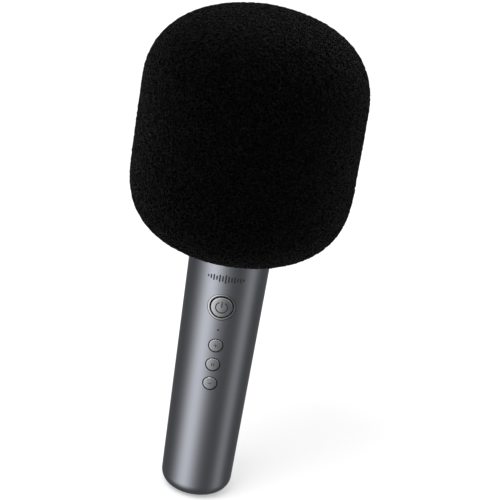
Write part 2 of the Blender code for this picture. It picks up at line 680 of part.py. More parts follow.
def make_leads(m):
    battery_top = BATTERY_LOW + BATTERY_LENGTH
    socket_top = 102.4
    lead(
        "battery_lead",
        [(0, 6, battery_top + 0.1), (0, 6, 93), (0, 6, 98), (0, 4.6, 102.5), (0, 1.2, 105.2),
         (0, -2.6, 105.2), (0, -3.8, socket_top)],
        0.8,
        m["wire"],
    )
    lead(
        "mic_lead",
        [(4.0, 0, 201.6), (8.5, 0, 201.6), (14.5, 0, 201.6), (20.5, 0, 201.2), (24.2, 0, 197.0),
         (24.8, 0, 188.0), (24.8, 0, 172.0), (24.8, 0, 156.0), (23.6, 0, 147.0), (18.5, 0, 142.6),
         (10.0, 0, 142.2), (3.2, 0, 139.5), (2.0, 0, 132.0), (2.0, 0, 122.0), (2.2, 0, 112.0),
         (4.6, -1.4, 106.2), (5.4, -3.6, socket_top)],
        0.7,
        m["wire"],
    )
    lead(
        "speaker_lead",
        [(-3, -13.5, 155.0), (-3, -10.0, 152.0), (-3, -4.6, 149.6), (-3, -4.0, 146.0), (-3, -3.6, 142.5),
         (-2.6, -1.6, 138.0), (-2.4, -0.6, 130.0), (-2.4, -0.4, 120.0), (-2.6, -0.6, 112.0),
         (-4.6, -1.8, 106.2), (-5.4, -3.6, socket_top)],
        0.7,
        m["wire"],
    )


def main():
    clear_scene()
    m = make_materials()
    make_handle_shell(m["handle_metal"])
    make_end_cap(m["black_plastic"])
    make_ports(m["steel"], m["black_plastic"], m["circuit_board"])
    make_chassis(m["grey_plastic"])
    make_battery(m["battery_wrap"])
    make_boards(m)
    make_buttons(m)
    make_neck(m)
    make_cage(m)
    make_speaker_box(m)
    make_driver(m)
    make_capsule(m)
    make_foam(m["foam"])
    make_leads(m)


main()
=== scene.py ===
"""Looks of a wireless karaoke microphone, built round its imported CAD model.

The pieces' lengths are in millimetres and become metres when a mesh is made; the studio's are in
metres. The handle's axis is Z, with the handle's flat end at z = 0. The buttons face -Y.
"""

import json
from math import cos, pi, radians, sin, sqrt

import bmesh
import bpy
import numpy as np
from mathutils import Matrix, Vector, noise


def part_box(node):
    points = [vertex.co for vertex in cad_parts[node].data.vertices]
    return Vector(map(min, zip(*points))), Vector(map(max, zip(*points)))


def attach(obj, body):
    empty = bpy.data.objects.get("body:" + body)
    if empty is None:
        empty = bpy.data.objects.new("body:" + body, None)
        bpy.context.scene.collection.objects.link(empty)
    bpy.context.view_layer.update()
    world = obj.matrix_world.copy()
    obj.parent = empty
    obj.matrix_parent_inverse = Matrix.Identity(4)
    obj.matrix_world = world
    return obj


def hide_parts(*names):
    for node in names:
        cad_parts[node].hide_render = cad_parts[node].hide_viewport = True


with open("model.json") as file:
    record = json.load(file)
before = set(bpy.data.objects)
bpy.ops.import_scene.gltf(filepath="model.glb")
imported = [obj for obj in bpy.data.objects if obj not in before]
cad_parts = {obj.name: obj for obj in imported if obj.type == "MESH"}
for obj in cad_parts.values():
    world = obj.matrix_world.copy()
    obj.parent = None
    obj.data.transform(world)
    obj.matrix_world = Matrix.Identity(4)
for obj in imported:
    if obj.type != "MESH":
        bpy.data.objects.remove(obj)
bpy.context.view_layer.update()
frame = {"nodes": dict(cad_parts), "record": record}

MM = 0.001
GAP = 0.3  # between pieces that fit into each other

# Handle, as the CAD has it: a tapered tube with a rounded lower edge.
HANDLE_LOW_RADIUS = 16.27
HANDLE_TAPER = 0.0186
HANDLE_EDGE = 6.8
HANDLE_WALL = 1.6
FOOT_HOLE_RADIUS = 9.0

# Head: the powers that shape the two domes of the barrel, and its straight band.
HEAD_MIDDLE, HEAD_BAND = 177.8, 17.3
HEAD_TOP_DOME, HEAD_LOW_DOME = 37.7, 38.1
HEAD_TOP_POWER, HEAD_LOW_POWER = 2.37, 2.76

# Cage under the foam.
CAGE_RADIUS, CAGE_WALL = 38.0, 2.0
CAGE_MIDDLE, CAGE_BAND = 179.0, 12.0
CAGE_TOP_DOME, CAGE_LOW_DOME, CAGE_POWER = 30.0, 35.5, 2.4
CAGE_FLOOR_RADIUS = 24.0
CAGE_SLOTS, CAGE_SLOT_WIDTH = 10, 5.6
CAGE_TOP_SLOTS, CAGE_LOW_SLOTS = (189, 211), (146, 179)
CAGE_SCREW_X = 22.0
SCREW_HOLE_RADIUS, SCREW_HEAD_RADIUS = 1.1, 2.2

# Buttons, and how far each one's face stands out from the handle.
BUTTONS = ("power", "plus", "mode", "minus")
BUTTON_PROUD = {"power": 0.2, "plus": 0.12, "mode": 0.12, "minus": 0.12}
FLANGE_STEP = 0.8
FLANGE_FRONT, FLANGE_BACK = 15.0, 14.5
STEM_RADIUS = 1.1
HOLE_MARGIN = 0.38  # between a small button's CAD cap and the hole in the handle
CAP_SHRINK = 0.08
RING_BORE = 5.5
POLE = 1e-6  # a lathe's point nearer the axis than this is one single point

FRONT = Matrix.Rotation(pi / 2, 4, "X")  # turns a lathe's +Z towards -Y
INK = 0.035  # thickness of printed marks


def low_of(node):
    """The lowest corner of a CAD node's box, in millimetres."""
    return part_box(node)[0] / MM


def high_of(node):
    """The highest corner of a CAD node's box, in millimetres."""
    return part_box(node)[1] / MM


def middle_of(node):
    return (low_of(node) + high_of(node)) / 2


def handle_radius(height):
    """The radius of the handle's outside at this height."""
    return HANDLE_LOW_RADIUS + HANDLE_TAPER * height


def handle_depth(x, height):
    """How far in front of the axis the handle's surface lies, this far to the side and up."""
    return sqrt(handle_radius(height) ** 2 - x**2)


# ---------------------------------------------------------------- materials

class Wiring:
    """Short ways to add and link shader nodes. Patterns start from one kind of texture coordinate."""

    def __init__(self, tree, coordinates):
        self.nodes = tree.nodes
        self.links = tree.links
        self.place = self.nodes.new("ShaderNodeTexCoord").outputs[coordinates]

    def new(self, kind, **values):
        node = self.nodes.new(kind)
        for name, value in values.items():
            setattr(node, name, value)
        return node

    def stretched(self, scale):
        """The piece's coordinates, scaled by this much on each axis."""
        mapping = self.new("ShaderNodeMapping")
        mapping.inputs["Scale"].default_value = scale
        self.links.new(self.place, mapping.inputs["Vector"])
        return mapping.outputs["Vector"]

    def noise(self, size, detail=3.0, place=None):
        """Soft noise whose blobs are about this many millimetres across."""
        node = self.new("ShaderNodeTexNoise")
        node.inputs["Scale"].default_value = 1.0 / (size * MM)
        node.inputs["Detail"].default_value = detail
        self.links.new(place or self.place, node.inputs["Vector"])
        return node.outputs["Fac"]

    def cells(self, size, feature="F1"):
        """Cell distance, for cells about this many millimetres across."""
        node = self.new("ShaderNodeTexVoronoi", feature=feature)
        node.inputs["Scale"].default_value = 1.0 / (size * MM)
        self.links.new(self.place, node.inputs["Vector"])
        return node.outputs["Distance"]

    def remap(self, value, low, high, to_low, to_high):
        """Maps the range from low to high onto the other one, and clamps."""
        node = self.new("ShaderNodeMapRange")
        for name, number in zip(("From Min", "From Max", "To Min", "To Max"), (low, high, to_low, to_high)):
            node.inputs[name].default_value = number
        self.links.new(value, node.inputs["Value"])
        return node.outputs["Result"]

    def ramp(self, value, stops):
        """A colour from a value, through (value, colour) stops."""
        node = self.new("ShaderNodeValToRGB")
        elements = node.color_ramp.elements
        for at, colour in stops[1:-1]:
            elements.new(at)
        for element, (at, colour) in zip(elements, stops):
            element.position = at
            element.color = (*colour, 1.0)
        self.links.new(value, node.inputs["Fac"])
        return node.outputs["Color"]

    def math(self, operation, a, b=0.0):
        node = self.new("ShaderNodeMath", operation=operation)
        for socket, value in zip(node.inputs, (a, b)):
            if isinstance(value, (int, float)):
                socket.default_value = value
            else:
                self.links.new(value, socket)
        return node.outputs["Value"]

class Surface(Wiring):
    """A Principled material. Its texture coordinates are the piece's own, so a pattern keeps its size in
    metres and moves with the piece."""

    def __init__(self, name, colour, roughness, metallic=0.0):
        self.material = bpy.data.materials.new(name)
        self.material.use_nodes = True
        super().__init__(self.material.node_tree, "Object")
        self.shader = self.nodes["Principled BSDF"]
        self.normal = None
        self.colour = colour
        self.set("Base Color", (*colour, 1.0))
        self.set("Roughness", roughness)
        self.set("Metallic", metallic)

    def set(self, socket, value):
        self.shader.inputs[socket].default_value = value

    def bump(self, height, depth, strength=1.0):
        """Adds relief this many millimetres deep."""
        node = self.new("ShaderNodeBump")
        node.inputs["Distance"].default_value = depth * MM
        node.inputs["Strength"].default_value = strength
        self.links.new(height, node.inputs["Height"])
        if self.normal:
            self.links.new(self.normal, node.inputs["Normal"])
        self.normal = node.outputs["Normal"]
        self.links.new(self.normal, self.shader.inputs["Normal"])

    def drive(self, socket, output):
        self.links.new(output, self.shader.inputs[socket])

    def mottle(self, size, amount, place=None):
        """Varies the base colour by this share, in blobs this many millimetres across."""
        dark = tuple(c * (1 - amount) for c in self.colour)
        light = tuple(min(1.0, c * (1 + amount)) for c in self.colour)
        self.drive("Base Color", self.ramp(self.noise(size, 3.0, place), [(0.3, dark), (0.7, light)]))

    def vary_roughness(self, size, low, high, place=None):
        """Varies the roughness between these values, in blobs this many millimetres across."""
        self.drive("Roughness", self.remap(self.noise(size, 3.0, place), 0.3, 0.7, low, high))


def foam_surface():
    """Open-cell foam: dark pores between slightly lighter struts, with a soft sheen at grazing angles."""
    s = Surface("open_cell_foam", (0.001, 0.001, 0.001), 1.0)
    s.set("Specular IOR Level", 0.0)
    s.set("Sheen Roughness", 0.5)
    s.set("Sheen Tint", (0.95, 0.95, 0.96, 1.0))
    pores = s.cells(0.64)
    grain = s.noise(0.5, 2.0)
    mixed = s.math("ADD", s.math("MULTIPLY", pores, 0.5), s.math("MULTIPLY", grain, 0.85))
    tone = s.ramp(mixed, [(0.54, (0.0,) * 3), (0.7, (0.0005,) * 3), (0.82, (0.0023, 0.0023, 0.0024))])
    s.drive("Base Color", tone)
    s.drive("Sheen Weight", s.remap(mixed, 0.6, 0.84, 0.0, 0.046))
    s.bump(mixed, 0.35, 1.0)
    return s.material


def anodised_surface():
    """Bead-blasted and anodised aluminium, gunmetal: an even satin with a very fine grain."""
    s = Surface("anodised_gunmetal", (0.33, 0.343, 0.378), 0.27, 1.0)
    s.mottle(0.7, 0.02)
    s.drive("Roughness", s.remap(s.noise(25.0, 0.0), 0.0, 1.0, 0.275, 0.288))
    s.bump(s.noise(0.5, 0.0), 0.002, 0.2)
    return s.material


def polished_surface():
    """The ring round the power button, turned bright, with faint tool marks round it."""
    s = Surface("turned_bright_ring", (0.47, 0.475, 0.49), 0.12, 1.0)
    s.vary_roughness(1.2, 0.1, 0.15)
    s.mottle(2.0, 0.04)
    return s.material


def spun_surface(name, centre_height, colour, roughness):
    """Button caps, faced on a lathe: fine rings round the middle of the cap."""
    s = Surface(name, colour, roughness, 1.0)
    split = s.new("ShaderNodeSeparateXYZ")
    s.links.new(s.place, split.inputs["Vector"])
    rise = s.math("SUBTRACT", split.outputs["Z"], centre_height * MM)
    across = s.math("MULTIPLY", split.outputs["X"], split.outputs["X"])
    radius = s.math("SQRT", s.math("ADD", across, s.math("MULTIPLY", rise, rise)))
    ring_pitch = 0.22 * MM
    wave = s.math("SINE", s.math("MULTIPLY", radius, 2 * pi / ring_pitch))
    s.bump(wave, 0.002, 0.5)
    s.mottle(0.5, 0.07)
    s.vary_roughness(0.8, roughness - 0.04, roughness + 0.05)
    return s.material


def recess_surface():
    """Painted shade: a near-black finish for the sides of the buttons and of their holes, the power ring's
    bore and the inside of the handle. It stands in for the shade in the narrow gaps between them.
    """
    s = Surface("dark_recess", (0.006, 0.006, 0.007), 0.7)
    s.mottle(0.6, 0.3)
    s.bump(s.noise(0.2), 0.005, 0.4)
    return s.material


def ink_surface():
    """The printed marks' dark grey ink."""
    s = Surface("mark_ink", (0.014, 0.015, 0.018), 0.6)
    s.mottle(0.3, 0.25)
    s.bump(s.noise(0.08), 0.004, 0.4)
    return s.material


def lens_surface():
    """The light's lens, unlit: smoky blue."""
    s = Surface("light_lens", (0.03, 0.055, 0.1), 0.18)
    s.set("IOR", 1.49)
    s.mottle(0.3, 0.3)
    return s.material


def plastic_surface(name, colour, roughness, grain=0.35, depth=0.02):
    """Moulded plastic with the fine spark-eroded grain of its tool."""
    s = Surface(name, colour, roughness)
    s.mottle(3.0, 0.12)
    s.vary_roughness(1.5, roughness - 0.05, roughness + 0.07)
    s.bump(s.noise(grain, 2.0), depth, 0.6)
    return s.material


def metal_surface(name, colour, roughness, along=(1, 1, 1)):
    """Stamped or drawn metal, with scratches that run along one axis."""
    s = Surface(name, colour, roughness, 1.0)
    lines = s.stretched(along)
    s.mottle(1.2, 0.1, lines)
    s.vary_roughness(0.8, roughness - 0.06, roughness + 0.1, lines)
    s.bump(s.noise(0.2, 2.0, lines), 0.004, 0.5)
    return s.material


def board_surface():
    """Solder mask over copper: faint tracks show through as lighter green."""
    s = Surface("solder_mask", (0.008, 0.07, 0.028), 0.35)
    tracks = s.cells(2.2, "DISTANCE_TO_EDGE")
    s.drive("Base Color", s.ramp(tracks, [(0.05, (0.012, 0.11, 0.04)), (0.09, (0.006, 0.055, 0.022))]))
    s.bump(s.remap(tracks, 0.05, 0.09, 1.0, 0.0), 0.03, 0.6)
    s.vary_roughness(2.0, 0.28, 0.42)
    return s.material


def make_materials():
    return {
        "foam": foam_surface(),
        "handle_metal": anodised_surface(),
        "ring": polished_surface(),
        "ink": ink_surface(),
        # painted shade: near-black for the gaps round the buttons and the handle's inside
        "recess": recess_surface(),
        "lens": lens_surface(),
        "black_plastic": plastic_surface("black_abs", (0.012, 0.012, 0.013), 0.5),
        "grey_plastic": plastic_surface("grey_abs", (0.1, 0.105, 0.11), 0.52),
        "button_metal": spun_surface("button_blank", 0.0, (0.5, 0.51, 0.53), 0.42),
        "clear_plastic": plastic_surface("clear_acrylic", (0.5, 0.6, 0.7), 0.2, 0.6, 0.004),
        "chip": plastic_surface("chip_epoxy", (0.012, 0.012, 0.013), 0.42, 0.15, 0.008),
        "paper_cone": plastic_surface("pressed_cone", (0.022, 0.022, 0.024), 0.8, 0.5, 0.05),
        "rubber": plastic_surface("moulded_rubber", (0.012, 0.012, 0.012), 0.78, 0.25, 0.02),
        "battery_wrap": plastic_surface("battery_shrink_wrap", (0.02, 0.09, 0.3), 0.3, 4.0, 0.03),
        "wire": plastic_surface("lead_insulation", (0.25, 0.015, 0.012), 0.45, 0.4, 0.01),
        "steel": metal_surface("stamped_steel", (0.55, 0.55, 0.54), 0.3, (1, 1, 8)),
        "capsule_brass": metal_surface("turned_brass", (0.62, 0.46, 0.2), 0.28, (1, 1, 10)),
        "circuit_board": board_surface(),
    }


# ---------------------------------------------------------------- modelling tools

def add_piece(name, shape, finish, body, replaced=(), sharp=32):
    """Links a bmesh in millimetres as a piece that rides on a body and stands for CAD nodes. Edges
    sharper than this many degrees stay crisp."""
    bmesh.ops.recalc_face_normals(shape, faces=shape.faces)
    bmesh.ops.scale(shape, vec=(MM, MM, MM), verts=shape.verts)
    mesh = bpy.data.meshes.new(name)
    shape.to_mesh(mesh)
    shape.free()
    mesh.materials.append(finish)
    mesh.shade_smooth()
    mesh.set_sharp_from_angle(angle=radians(sharp))
    piece = bpy.data.objects.new(name, mesh)
    bpy.context.scene.collection.objects.link(piece)
    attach(piece, body)
    if replaced:
        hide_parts(*replaced)
    return piece


def paint_shade_on_faces(piece, recess, inside):
    """Gives the painted shade material to the faces whose centre, in millimetres, passes this test:
    near-black paint in place of the shade in gaps and hollows.
    """
    piece.data.materials.append(recess)
    for face in piece.data.polygons:
        if inside(face.center / MM):
            face.material_index = 1


def ring_of(shape, radius, height, count):
    """The points of one level ring round the axis, or the one point on the axis."""
    if radius < POLE:
        return [shape.verts.new((0, 0, height))]
    angles = [2 * pi * i / count for i in range(count)]
    return [shape.verts.new((radius * cos(a), radius * sin(a), height)) for a in angles]


def lathe(outline, segments, turn=None, place=(0, 0, 0)):
    """A closed outline of (radius, height) points turned about Z, then turned and moved."""
    shape = bmesh.new()
    rings = [ring_of(shape, radius, height, segments) for radius, height in outline]
    for a, b in zip(rings, rings[1:] + rings[:1]):
        if len(a) == 1 and len(b) == 1:
            continue
        for i in range(segments):
            n = (i + 1) % segments
            corners = [a[i % len(a)], a[n % len(a)], b[n % len(b)], b[i % len(b)]]
            shape.faces.new(list(dict.fromkeys(corners)))
    if turn:
        bmesh.ops.transform(shape, matrix=turn, verts=shape.verts)
    bmesh.ops.translate(shape, vec=place, verts=shape.verts)
    return shape


def rounded(corners, radius, steps=3):
    """An outline with each of these corners, given as (radius, height, round it or not), softened."""
    points = []
    count = len(corners)
    for i, (r, z, soft) in enumerate(corners):
        here = Vector((r, z))
        if not soft:
            points.append(tuple(here))
            continue
        before = (Vector(corners[i - 1][:2]) - here).normalized() * radius
        after = (Vector(corners[(i + 1) % count][:2]) - here).normalized() * radius
        for k in range(steps + 1):
            t = k / steps
            at = here + before * (1 - t) ** 2 + after * t**2
            points.append(tuple(at))
    return points


def cut(shape, cutters):
    """The mesh of a shape less each cutter, all bmeshes in millimetres."""
    bmesh.ops.recalc_face_normals(shape, faces=shape.faces)
    holder = temporary(shape)
    for cutter in cutters:
        bmesh.ops.recalc_face_normals(cutter, faces=cutter.faces)
        change = holder.modifiers.new("cut", "BOOLEAN")
        change.solver = "EXACT"
        change.object = temporary(cutter)
    graph = bpy.context.evaluated_depsgraph_get()
    result = bmesh.new()
    result.from_mesh(holder.evaluated_get(graph).to_mesh())
    tools = [change.object for change in holder.modifiers]
    for tool in tools + [holder]:
        mesh = tool.data
        bpy.data.objects.remove(tool)
        bpy.data.meshes.remove(mesh)
    return result


def temporary(shape):
    """An object that holds a bmesh's mesh while modifiers work on it."""
    mesh = bpy.data.meshes.new("temporary")
    shape.to_mesh(mesh)
    shape.free()
    obj = bpy.data.objects.new("temporary", mesh)
    bpy.context.scene.collection.objects.link(obj)
    return obj


def round_cutter(radius, start, end, segments=64):
    """A cylinder from one point to another."""
    start, end = Vector(start), Vector(end)
    along = end - start
    shape = bmesh.new()
    bmesh.ops.create_cone(
        shape, cap_ends=True, segments=segments, radius1=radius, radius2=radius, depth=along.length
    )
    turn = along.to_track_quat("Z", "Y").to_matrix().to_4x4()
    bmesh.ops.transform(shape, matrix=Matrix.Translation((start + end) / 2) @ turn, verts=shape.verts)
    return shape


def slot_points(width, height, steps=12):
    """The outline of a round-ended slot that lies along X."""
    radius, reach = height / 2, width / 2 - height / 2
    points = []
    for side in (1, -1):
        for i in range(steps + 1):
            angle = -pi / 2 + pi * i / steps
            points.append((side * (reach + radius * cos(angle)), side * radius * sin(angle)))
    return points


def prism(points, low, high, place=(0, 0, 0), turn=None):
    """A flat outline of (x, y) points, extruded from low to high along Z, then turned and moved."""
    shape = bmesh.new()
    bottom = [shape.verts.new((x, y, low)) for x, y in points]
    top = [shape.verts.new((x, y, high)) for x, y in points]
    shape.faces.new(bottom[::-1])
    shape.faces.new(top)
    for i in range(len(points)):
        n = (i + 1) % len(points)
        shape.faces.new((bottom[i], bottom[n], top[n], top[i]))
    if turn:
        bmesh.ops.transform(shape, matrix=turn, verts=shape.verts)
    bmesh.ops.translate(shape, vec=place, verts=shape.verts)
    return shape


def merged(shapes):
    """Several bmeshes as one."""
    whole = bmesh.new()
    for shape in shapes:
        mesh = bpy.data.meshes.new("part")
        shape.to_mesh(mesh)
        shape.free()
        whole.from_mesh(mesh)
        bpy.data.meshes.remove(mesh)
    return whole


def dome_points(radius, middle, band, height, power, side, steps):
    """Points of one dome of a barrel, from the axis to the band. side is 1 for the top and -1 below."""
    points = []
    for i in range(steps + 1):
        angle = pi / 2 * (1 - i / steps)
        rise = band + height * sin(angle) ** (2 / power)
        points.append((radius * cos(angle) ** (2 / power), middle + side * rise))
    return points


def spaced(points, step):
    """Points about this far apart along a line through these points."""
    line = np.array(points, float)
    lengths = np.hypot(*np.diff(line, axis=0).T)
    along = np.concatenate([[0], np.cumsum(lengths)])
    count = max(2, int(round(along[-1] / step)) + 1)
    places = np.linspace(0, along[-1], count)
    return np.column_stack([np.interp(places, along, line[:, 0]), np.interp(places, along, line[:, 1])])


# ---------------------------------------------------------------- foam head

FOAM_STEP = 0.74  # between neighbouring points of its outside
FOAM_SEGMENTS, FOAM_FEWEST_SEGMENTS = 432, 27
FOAM_FULL_RADIUS = 27.0  # rings narrower than this have fewer points
FOAM_INSIDE_SEGMENTS = 108
FOAM_NECK_TOP = 132.5
FOAM_LIP_RADIUS = 20.9


def foam_segments(radius):
    """Fewer points to a ring near the axis, always halved, so that rings join up."""
    count, limit = FOAM_SEGMENTS, FOAM_FULL_RADIUS
    while radius < limit and count > FOAM_FEWEST_SEGMENTS:
        count //= 2
        limit /= 2
    return count


def join_rings(shape, a, b):
    """Faces between two rings, where one may have half as many points as the other."""
    if len(a) == 1 or len(b) == 1:
        tip, ring = (a[0], b) if len(a) == 1 else (b[0], a)
        for i in range(len(ring)):
            shape.faces.new((tip, ring[i], ring[(i + 1) % len(ring)]))
        return
    if len(a) == len(b):
        for i in range(len(a)):
            n = (i + 1) % len(a)
            shape.faces.new((a[i], a[n], b[n], b[i]))
        return
    few, many = (a, b) if len(a) < len(b) else (b, a)
    for i in range(len(few)):
        n = (i + 1) % len(few)
        start, mid, end = many[2 * i], many[2 * i + 1], many[(2 * i + 2) % len(many)]
        shape.faces.new((few[i], start, mid))
        shape.faces.new((few[i], mid, few[n]))
        shape.faces.new((few[n], mid, end))


def join_uneven(shape, a, b):
    """Faces between two rings whose counts differ by a whole multiple."""
    few, many = (a, b) if len(a) < len(b) else (b, a)
    share = len(many) // len(few)
    for i in range(len(few)):
        n = (i + 1) % len(few)
        run = [many[(share * i + k) % len(many)] for k in range(share + 1)]
        half = share // 2
        for k in range(half):
            shape.faces.new((few[i], run[k], run[k + 1]))
        shape.faces.new((few[i], run[half], few[n]))
        for k in range(half, share):
            shape.faces.new((few[n], run[k], run[k + 1]))


def foam_outline():
    """(outside, inside) lines of the sponge: from the crown down to the neck's lip, and back up inside."""
    low, high = low_of("foam_windscreen"), high_of("foam_windscreen")
    radius = (high.x - low.x) / 2
    steps, inside_steps = 160, 24
    crown = dome_points(radius, HEAD_MIDDLE, HEAD_BAND, HEAD_TOP_DOME, HEAD_TOP_POWER, 1, steps)
    belly = dome_points(radius, HEAD_MIDDLE, HEAD_BAND, HEAD_LOW_DOME, HEAD_LOW_POWER, -1, steps)[::-1]
    outside = crown + [p for p in belly if p[0] > FOAM_LIP_RADIUS]
    neck_low = low.z + 1.1
    neck = handle_radius(neck_low) + GAP
    outside += [(FOAM_LIP_RADIUS - 0.7, low.z + 0.12), (neck + 0.5, low.z + 0.3), (neck + 0.1, low.z + 0.65)]
    cavity = CAGE_FLOOR_RADIUS + GAP
    floor = low_of("cage_lower").z - GAP
    upper = cage_dome(GAP, 1, inside_steps)
    lower = [p for p in cage_dome(GAP, -1, inside_steps) if p[1] > floor + 1 and p[0] > cavity]
    inside = [(neck, neck_low), (handle_radius(FOAM_NECK_TOP) + GAP, FOAM_NECK_TOP)]
    inside += [(cavity, FOAM_NECK_TOP + 0.1), (cavity, floor)] + lower + upper[::-1][1:]
    return outside, inside


def make_foam(m):
    """A sponge with its skin broken by open cells: each point of the outside is pushed in or out."""
    outside, inside = foam_outline()
    shape = bmesh.new()
    outer = spaced(outside, FOAM_STEP)
    rings = [ring_of(shape, radius, height, foam_segments(radius)) for radius, height in outer]
    outside_points = len(shape.verts)
    rings += [ring_of(shape, radius, height, FOAM_INSIDE_SEGMENTS) for radius, height in inside]
    for a, b in zip(rings, rings[1:]):
        few, many = sorted((len(a), len(b)))
        if few > 1 and many > 2 * few:
            join_uneven(shape, a, b)
        else:
            join_rings(shape, a, b)
    bmesh.ops.recalc_face_normals(shape, faces=shape.faces)
    shape.normal_update()
    roughen(shape, outside_points)
    foam = add_piece("foam_head", shape, m["foam"], "windscreen", ["foam_windscreen"], 180)


def roughen(shape, count):
    """Pushes the first points in and out: single cells, clumps of them and the soft swell of a cut
    sponge."""
    clump_size, swell_size = 1.9, 30.0
    cell_depth, clump_depth, swell_depth = 0.24, 0.24, 0.2
    shape.verts.ensure_lookup_table()
    cells = np.random.default_rng(5).uniform(-cell_depth, cell_depth, count)
    for vert, cell in zip(shape.verts[:count], cells):
        at = vert.co
        clump = noise.noise(at / clump_size + Vector((7, 3, 1)))
        swell = noise.noise(at / swell_size + Vector((1, 5, 2)))
        vert.co = at + vert.normal * (cell + clump_depth * clump + swell_depth * swell)


# ---------------------------------------------------------------- handle

def button_height(name):
    return middle_of(f"{name}_button").z


def cap_radius(name):
    """The radius of the button's visible face, which is its flange's less the flange's step."""
    return high_of(f"{name}_button").x - FLANGE_STEP


def front_hole(radius, height, segments):
    """A cutter for a round hole in the front of the handle."""
    return round_cutter(radius, (0, -25, height), (0, -10, height), segments)


def make_handle(m):
    """The tube: its tapered outside, the rounded edge at its foot, and the holes for what is in its front."""
    top = high_of("handle_shell").z
    rim = 0.4  # the bevel at the top
    centre = handle_radius(HANDLE_EDGE) - HANDLE_EDGE
    inside = HANDLE_EDGE - HANDLE_WALL
    steps = 28
    quarter = [pi / 2 * i / steps for i in range(steps + 1)]
    fillet = [(centre + HANDLE_EDGE * cos(a), HANDLE_EDGE * (1 - sin(a))) for a in quarter]
    heights = np.linspace(top - rim, HANDLE_EDGE, 64)[:-1]
    outer = [(handle_radius(top) - rim, top)] + [(handle_radius(z), z) for z in heights] + fillet
    foot = [(FOOT_HOLE_RADIUS + 0.3, 0.0), (FOOT_HOLE_RADIUS, 0.3), (FOOT_HOLE_RADIUS, HANDLE_WALL)]
    inner = [(centre + inside * cos(a), HANDLE_EDGE - inside * sin(a)) for a in quarter[::-4]]
    outline = outer + foot + inner + [(handle_radius(top) - HANDLE_WALL, top)]
    ring_hole = high_of("power_button_bezel").x + 0.2
    holes = [ring_hole] + [cap_radius(name) + HOLE_MARGIN for name in BUTTONS[1:]]
    cutters = [front_hole(radius, button_height(name), 96) for name, radius in zip(BUTTONS, holes)]
    cutters.append(front_hole(high_of("led_light_pipe").x + 0.08, middle_of("led_light_pipe").z, 32))
    shape = cut(lathe(outline, 240), cutters)
    tube = add_piece("handle_tube", shape, m["handle_metal"], "body", ["handle_shell"])
    # Painted shade: the walls of the holes and the tube's inside are painted near-black.
    paint_shade_on_faces(tube, m["recess"], inside_handle)


def inside_handle(at):
    """Whether a point lies behind the handle's outer surface, above its rounded edge."""
    return at.z > HANDLE_EDGE and at.xy.length < handle_radius(at.z) - 0.12


def make_ring(m):
    """The bright ring round the power button. It follows the handle's curve."""
    height = button_height("power")
    inner, outer, depth = RING_BORE, high_of("power_button_bezel").x, 1.5
    profile = (
        (inner, depth), (inner, 0.1), (inner + 0.03, 0.03), (inner + 0.1, 0.0),
        (outer - 0.08, 0.0), (outer - 0.02, 0.02), (outer, 0.08), (outer, depth),
    )
    segments = 128
    shape = bmesh.new()
    rings = []
    for i in range(segments):
        angle = 2 * pi * i / segments
        ring = []
        for radius, sunk in profile:
            x, z = radius * cos(angle), height + radius * sin(angle)
            ring.append(shape.verts.new((x, sunk - handle_depth(x, z), z)))
        rings.append(ring)
    for a, b in zip(rings, rings[1:] + rings[:1]):
        for k in range(len(profile)):
            n = (k + 1) % len(profile)
            shape.faces.new((a[k], b[k], b[n], a[n]))
    ring = add_piece("power_ring", shape, m["ring"], "body", ["power_button_bezel"])
    # Painted shade: the ring's bore and outer wall, below the handle's surface, are painted near-black.
    paint_shade_on_faces(ring, m["recess"], inside_handle)


def make_caps(m):
    """Button caps: a satin disc with a softened edge, whose face follows the handle's curve."""
    bevel = 0.2
    for name in BUTTONS:
        height, radius, proud = button_height(name), cap_radius(name) - CAP_SHRINK, BUTTON_PROUD[name]
        face, back = handle_radius(height) + proud, -high_of(f"{name}_button").y
        flange = radius + FLANGE_STEP
        outline = [(0, back), (STEM_RADIUS, back), (STEM_RADIUS, FLANGE_BACK), (flange, FLANGE_BACK)]
        outline += [(flange, FLANGE_FRONT), (radius, FLANGE_FRONT)]
        outline += [(radius, face - bevel), (radius - 0.03, face - 0.09), (radius - 0.09, face - 0.03)]
        outline += [((radius - bevel) * k / 8, face) for k in range(8, -1, -1)]
        shape = lathe(outline, 96, FRONT, (0, 0, height))
        for vert in shape.verts:
            if -vert.co.y > FLANGE_FRONT + bevel:
                vert.co.y += handle_radius(height) - handle_depth(vert.co.x, vert.co.z)
        finish = spun_surface(f"{name}_spun", height, (0.402, 0.41, 0.428), 0.275)
        cap = add_piece(f"{name}_cap", shape, finish, f"{name}_key", [f"{name}_button"])
        # Painted shade: the cap's stem, flange, sides and the part of its edge bevel nearest the handle are
        # painted near-black. This also dulls the glint on that edge.
        paint_shade_on_faces(cap, m["recess"], lambda at, rim=proud - 0.07: -at.y < handle_depth(at.x, at.z) + rim)


def cap_mark(name, button, strips, finish):
    """A printed mark, a little proud of the cap's curved face. A strip is a list of pairs of (x, height)
    points, one on each side of it."""
    middle, proud = button_height(button), BUTTON_PROUD[button]
    shape = bmesh.new()

    def lifted(strip, lift):
        return [
            [shape.verts.new((x, -handle_depth(x, middle + z) - proud - lift, middle + z)) for x, z in pair]
            for pair in strip
        ]

    for strip in strips:
        low, high = lifted(strip, -0.01), lifted(strip, INK)
        for k in range(len(strip) - 1):
            shape.faces.new((low[k][0], low[k][1], low[k + 1][1], low[k + 1][0]))
            shape.faces.new((high[k][0], high[k][1], high[k + 1][1], high[k + 1][0]))
            for side in (0, 1):
                shape.faces.new((low[k][side], low[k + 1][side], high[k + 1][side], high[k][side]))
        for end in (0, -1):
            shape.faces.new((low[end][0], low[end][1], high[end][1], high[end][0]))
    add_piece(name, shape, finish, f"{button}_key")


